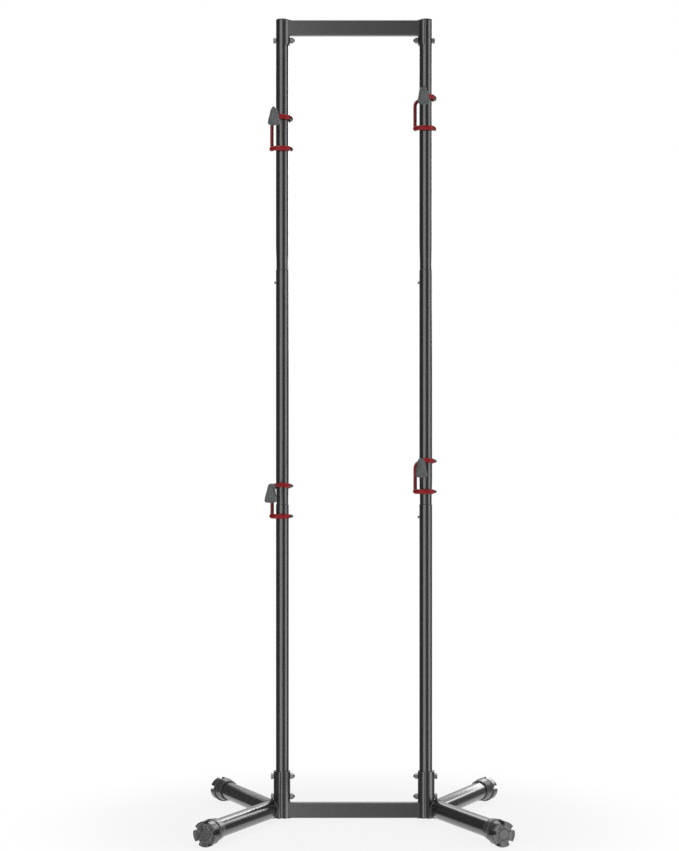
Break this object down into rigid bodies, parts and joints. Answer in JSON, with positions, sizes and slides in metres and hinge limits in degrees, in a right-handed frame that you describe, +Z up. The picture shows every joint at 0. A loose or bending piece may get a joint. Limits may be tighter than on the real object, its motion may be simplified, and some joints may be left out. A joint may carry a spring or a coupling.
{
  "type": "bike storage rack",
  "caption": "Free-standing gravity rack for bicycles: tubular posts on V legs, with sliding bent-rod arms that end in padded cradles.",
  "frame": {"origin": "On the floor, midway between the axes of the two posts", "axes": "+Z up along the posts, +X from the left post to the right one, -Y the way the cradles point, toward the viewer"},
  "size_m": [0.7552, 0.6494, 2],
  "materials": {
    "black_powder_coat": "satin black powder coat",
    "red_paint": "gloss red paint",
    "red_vinyl": "soft red vinyl sleeve",
    "grey_rubber": "moulded matt grey rubber",
    "grey_plastic": "moulded dark grey plastic",
    "black_plastic": "moulded black plastic",
    "zinc_steel": "zinc-plated steel"
  },
  "bodies": {
    "stand": {"lower_crossbar": "black_powder_coat", "upper_crossbar": "black_powder_coat", "left_post_lower": "black_powder_coat", "left_post_middle": "black_powder_coat", "left_post_upper": "black_powder_coat", "left_post_plug": "black_plastic", "left_leg_frame": "black_powder_coat", "left_lower_base_bolt": "zinc_steel", "left_lower_base_nut": "zinc_steel", "left_upper_base_bolt": "zinc_steel", "left_upper_base_nut": "zinc_steel", "left_top_bolt": "zinc_steel", "left_top_nut": "zinc_steel", "left_lower_button_spring": "zinc_steel", "left_middle_button_spring": "zinc_steel", "right_post_lower": "black_powder_coat", "right_post_middle": "black_powder_coat", "right_post_upper": "black_powder_coat", "right_post_plug": "black_plastic", "right_leg_frame": "black_powder_coat", "right_lower_base_bolt": "zinc_steel", "right_lower_base_nut": "zinc_steel", "right_upper_base_bolt": "zinc_steel", "right_upper_base_nut": "zinc_steel", "right_top_bolt": "zinc_steel", "right_top_nut": "zinc_steel", "right_lower_button_spring": "zinc_steel", "right_middle_button_spring": "zinc_steel"},
    "left_lower_joint_button": {"left_lower_joint_button": "zinc_steel"},
    "left_middle_joint_button": {"left_middle_joint_button": "zinc_steel"},
    "front_left_cap": {"front_left_cap": "grey_plastic"},
    "rear_left_cap": {"rear_left_cap": "grey_plastic"},
    "right_lower_joint_button": {"right_lower_joint_button": "zinc_steel"},
    "right_middle_joint_button": {"right_middle_joint_button": "zinc_steel"},
    "front_right_cap": {"front_right_cap": "grey_plastic"},
    "rear_right_cap": {"rear_right_cap": "grey_plastic"},
    "upper_left_arm": {"upper_left_arm": "red_paint", "upper_left_arm_cradle": "grey_rubber", "upper_left_arm_front_sleeve": "red_vinyl", "upper_left_arm_rear_sleeve": "red_vinyl", "upper_left_arm_lower_sleeve": "red_vinyl"},
    "upper_right_arm": {"upper_right_arm": "red_paint", "upper_right_arm_cradle": "grey_rubber", "upper_right_arm_front_sleeve": "red_vinyl", "upper_right_arm_rear_sleeve": "red_vinyl", "upper_right_arm_lower_sleeve": "red_vinyl"},
    "lower_left_arm": {"lower_left_arm": "red_paint", "lower_left_arm_cradle": "grey_rubber", "lower_left_arm_front_sleeve": "red_vinyl", "lower_left_arm_rear_sleeve": "red_vinyl", "lower_left_arm_lower_sleeve": "red_vinyl"},
    "lower_right_arm": {"lower_right_arm": "red_paint", "lower_right_arm_cradle": "grey_rubber", "lower_right_arm_front_sleeve": "red_vinyl", "lower_right_arm_rear_sleeve": "red_vinyl", "lower_right_arm_lower_sleeve": "red_vinyl"}
  },
  "joints": [
    {"name": "left_lower_button_press", "type": "slide", "parent": "stand", "child": "left_lower_joint_button", "axis": [1, 0, 0], "range_m": [0, 0.0063], "stiffness_N_per_m": 1500, "springref_m": -0.003, "deforming": ["left_lower_button_spring"]},
    {"name": "left_middle_button_press", "type": "slide", "parent": "stand", "child": "left_middle_joint_button", "axis": [1, 0, 0], "range_m": [0, 0.0063], "stiffness_N_per_m": 1500, "springref_m": -0.003, "deforming": ["left_middle_button_spring"]},
    {"name": "front_left_cap_turn", "type": "hinge", "parent": "stand", "child": "front_left_cap", "pos_m": [-0.205, 0, 0.033], "axis": [-0.4226, -0.9063, 0], "continuous": true},
    {"name": "rear_left_cap_turn", "type": "hinge", "parent": "stand", "child": "rear_left_cap", "pos_m": [-0.205, 0, 0.033], "axis": [-0.4226, 0.9063, 0], "continuous": true},
    {"name": "right_lower_button_press", "type": "slide", "parent": "stand", "child": "right_lower_joint_button", "axis": [1, 0, 0], "range_m": [0, 0.0063], "stiffness_N_per_m": 1500, "springref_m": -0.003, "deforming": ["right_lower_button_spring"]},
    {"name": "right_middle_button_press", "type": "slide", "parent": "stand", "child": "right_middle_joint_button", "axis": [1, 0, 0], "range_m": [0, 0.0063], "stiffness_N_per_m": 1500, "springref_m": -0.003, "deforming": ["right_middle_button_spring"]},
    {"name": "front_right_cap_turn", "type": "hinge", "parent": "stand", "child": "front_right_cap", "pos_m": [0.205, 0, 0.033], "axis": [0.4226, -0.9063, 0], "continuous": true},
    {"name": "rear_right_cap_turn", "type": "hinge", "parent": "stand", "child": "rear_right_cap", "pos_m": [0.205, 0, 0.033], "axis": [0.4226, 0.9063, 0], "continuous": true},
    {"name": "upper_left_arm_slide", "type": "slide", "parent": "stand", "child": "upper_left_arm", "axis": [0, 0, 1], "range_m": [-0.376, 0.174]},
    {"name": "upper_right_arm_slide", "type": "slide", "parent": "stand", "child": "upper_right_arm", "axis": [0, 0, 1], "range_m": [-0.4265, 0.1235]},
    {"name": "lower_left_arm_slide", "type": "slide", "parent": "stand", "child": "lower_left_arm", "axis": [0, 0, 1], "range_m": [-0.6227, 0.4373]},
    {"name": "lower_right_arm_slide", "type": "slide", "parent": "stand", "child": "lower_right_arm", "axis": [0, 0, 1], "range_m": [-0.6839, 0.3761]}
  ]
}
